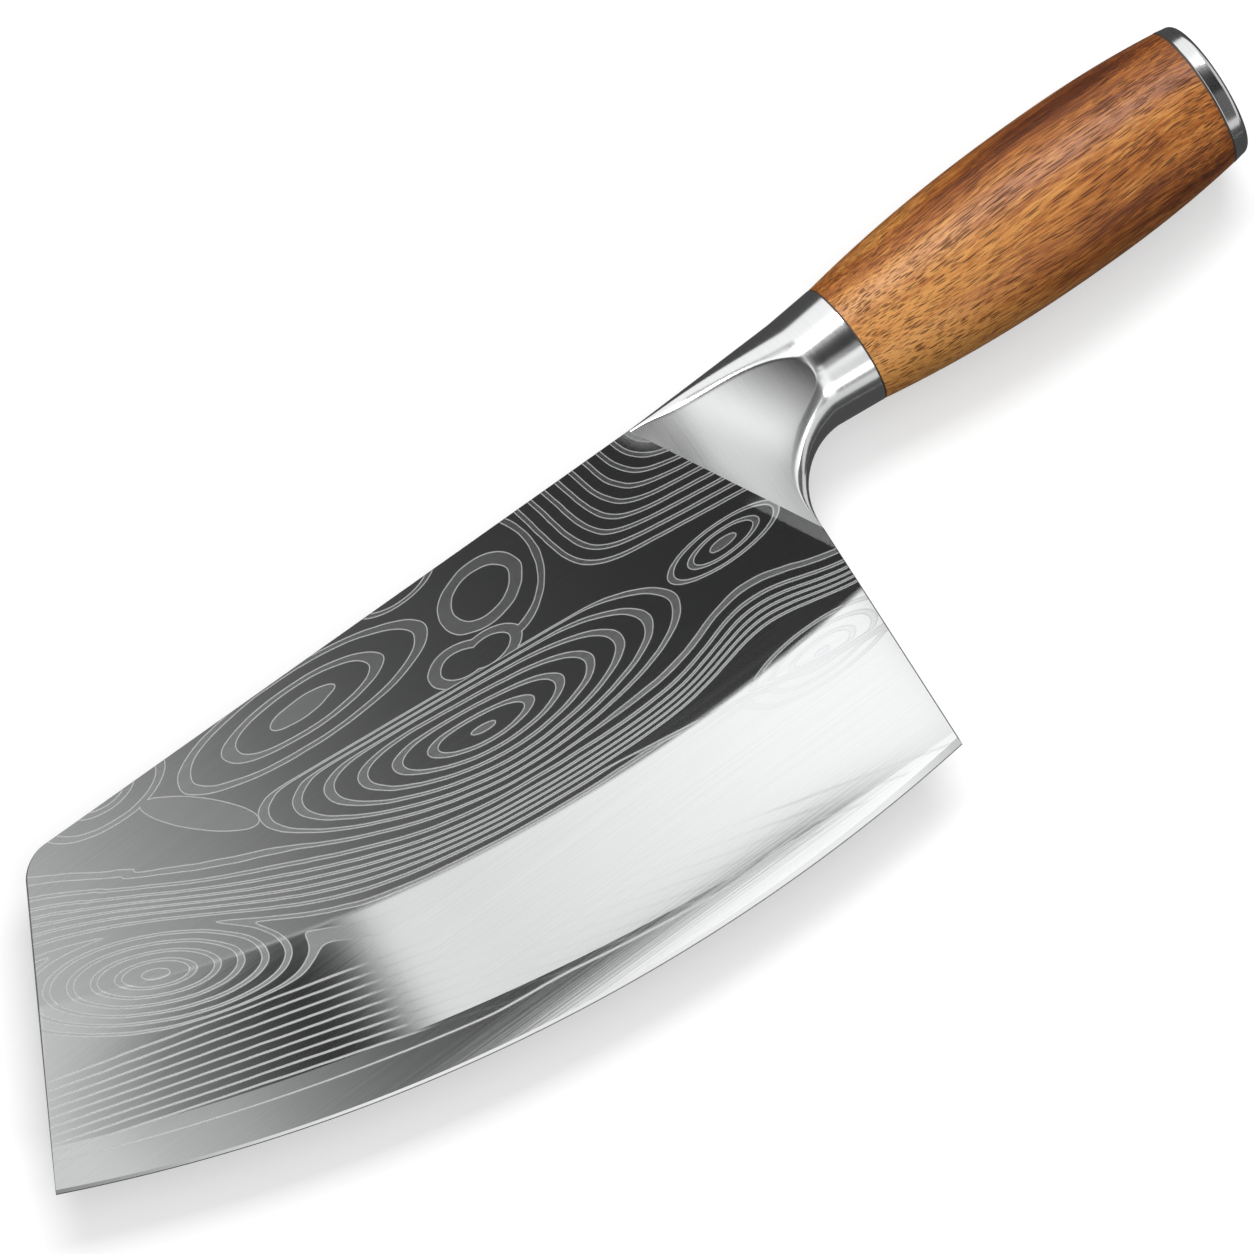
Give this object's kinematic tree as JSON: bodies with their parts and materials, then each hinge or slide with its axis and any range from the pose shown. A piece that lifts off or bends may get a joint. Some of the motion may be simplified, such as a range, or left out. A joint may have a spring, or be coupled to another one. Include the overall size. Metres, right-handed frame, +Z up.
{
  "type": "kitchen cleaver",
  "caption": "Broad kitchen cleaver with a pattern-etched steel blade, a hollow-ground bolster, a barrel-shaped wooden handle and a steel butt cap, for chopping and slicing.",
  "frame": {"origin": "middle of the knife's footprint as it lies on its side, on the surface under the handle's belly", "axes": "+X from the blade to the butt, +Y from the cutting edge to the spine, +Z up, square to the blade's side"},
  "size_m": [0.3212, 0.0976, 0.0282],
  "materials": {
    "blade_steel": "satin polished along the blade, with an etched contour pattern",
    "bolster_steel": "polished, brushed across",
    "cap_steel": "polished, brushed around the rim",
    "handle_wood": "oiled reddish hardwood with dark pores, satin",
    "bonding_layer": "dark resin, matte",
    "hardware_steel": "plain turned steel",
    "cast_resin": "cast amber resin"
  },
  "bodies": {
    "root": {"blade": "blade_steel", "bolster": "bolster_steel", "front_glue_line": "bonding_layer", "handle": "handle_wood", "rear_glue_line": "bonding_layer", "end_cap": "cap_steel", "tang_rod": "hardware_steel", "tang_epoxy": "cast_resin", "clamp_washer": "hardware_steel", "clamp_nut": "hardware_steel", "dowel_upper": "hardware_steel", "dowel_lower": "hardware_steel"}
  },
  "joints": []
}
